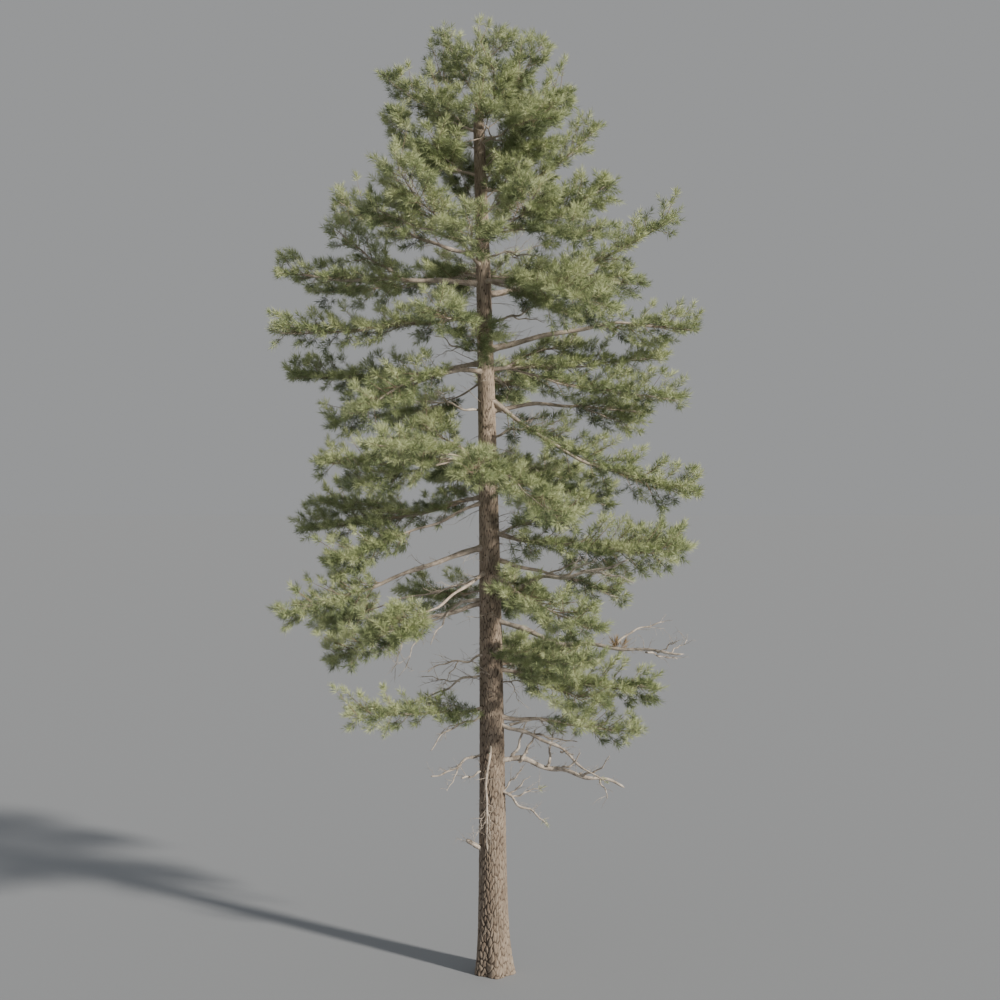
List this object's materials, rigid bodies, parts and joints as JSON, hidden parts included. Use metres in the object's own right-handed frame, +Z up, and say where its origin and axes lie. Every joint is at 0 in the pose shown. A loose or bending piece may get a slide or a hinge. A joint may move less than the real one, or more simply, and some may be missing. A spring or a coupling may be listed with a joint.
{
  "type": "long-needled pine tree",
  "caption": "Tall long-needled pine rooted in level ground: leaning tapered trunk, layered boughs of needle sprays, and bare dead limbs below the crown.",
  "frame": {"origin": "middle of the flat cut under the trunk, at ground level", "axes": "+Z up the trunk, +X to the right and -Y towards the front, for a viewer who faces the tree's lit side"},
  "size_m": [8.9094, 7.3106, 20.0495],
  "materials": {
    "bark": "rough plated bark, dark in the furrows and pale on the plates",
    "limb_bark": "thin scaly bark, pale pinkish tan",
    "dead_wood": "weathered bare wood, grey tan, matt",
    "needles": "olive green needles, waxy and slightly glossy"
  },
  "bodies": {
    "root": {"trunk": "bark", "dead_limb_long": "dead_wood", "dead_limb_high": "dead_wood", "dead_limb_thick": "dead_wood", "dead_limb_low": "dead_wood", "dead_limb_left": "dead_wood", "dead_stub": "dead_wood", "dead_limb_hanging": "dead_wood", "dead_limb_brown": "dead_wood", "crown_right_bough": "limb_bark", "upper_left_bough": "limb_bark", "upper_right_bough": "limb_bark", "left_fork_bough": "limb_bark", "right_long_bough": "limb_bark", "left_arch_bough": "limb_bark", "right_sparse_bough": "limb_bark", "left_long_bough": "limb_bark", "right_low_back_bough": "limb_bark", "left_third_bough": "limb_bark", "lowest_right_bough": "limb_bark", "top_left": "needles", "top_right": "needles", "crown_left": "needles", "crown_front": "needles", "crown_right": "needles", "shoulder_left": "needles", "shoulder_right": "needles", "upper_left_front": "needles", "upper_left": "needles", "upper_right": "needles", "middle_front_right": "needles", "left_fork": "needles", "left_middle": "needles", "right_long": "needles", "right_middle": "needles", "left_back_middle": "needles", "left_arch": "needles", "right_sparse": "needles", "right_drooping": "needles", "left_level": "needles", "front_middle": "needles", "left_low_front": "needles", "left_low_back": "needles", "right_broad": "needles", "left_long": "needles", "left_second": "needles", "right_low_back": "needles", "right_low_front": "needles", "left_third": "needles", "skirt_front": "needles", "skirt_right": "needles", "lowest_right": "needles", "lowest_left": "needles", "rear_lowest": "needles", "rear_low": "needles", "rear_middle": "needles", "rear_high": "needles", "rear_upper": "needles", "leader": "needles"}
  },
  "joints": []
}
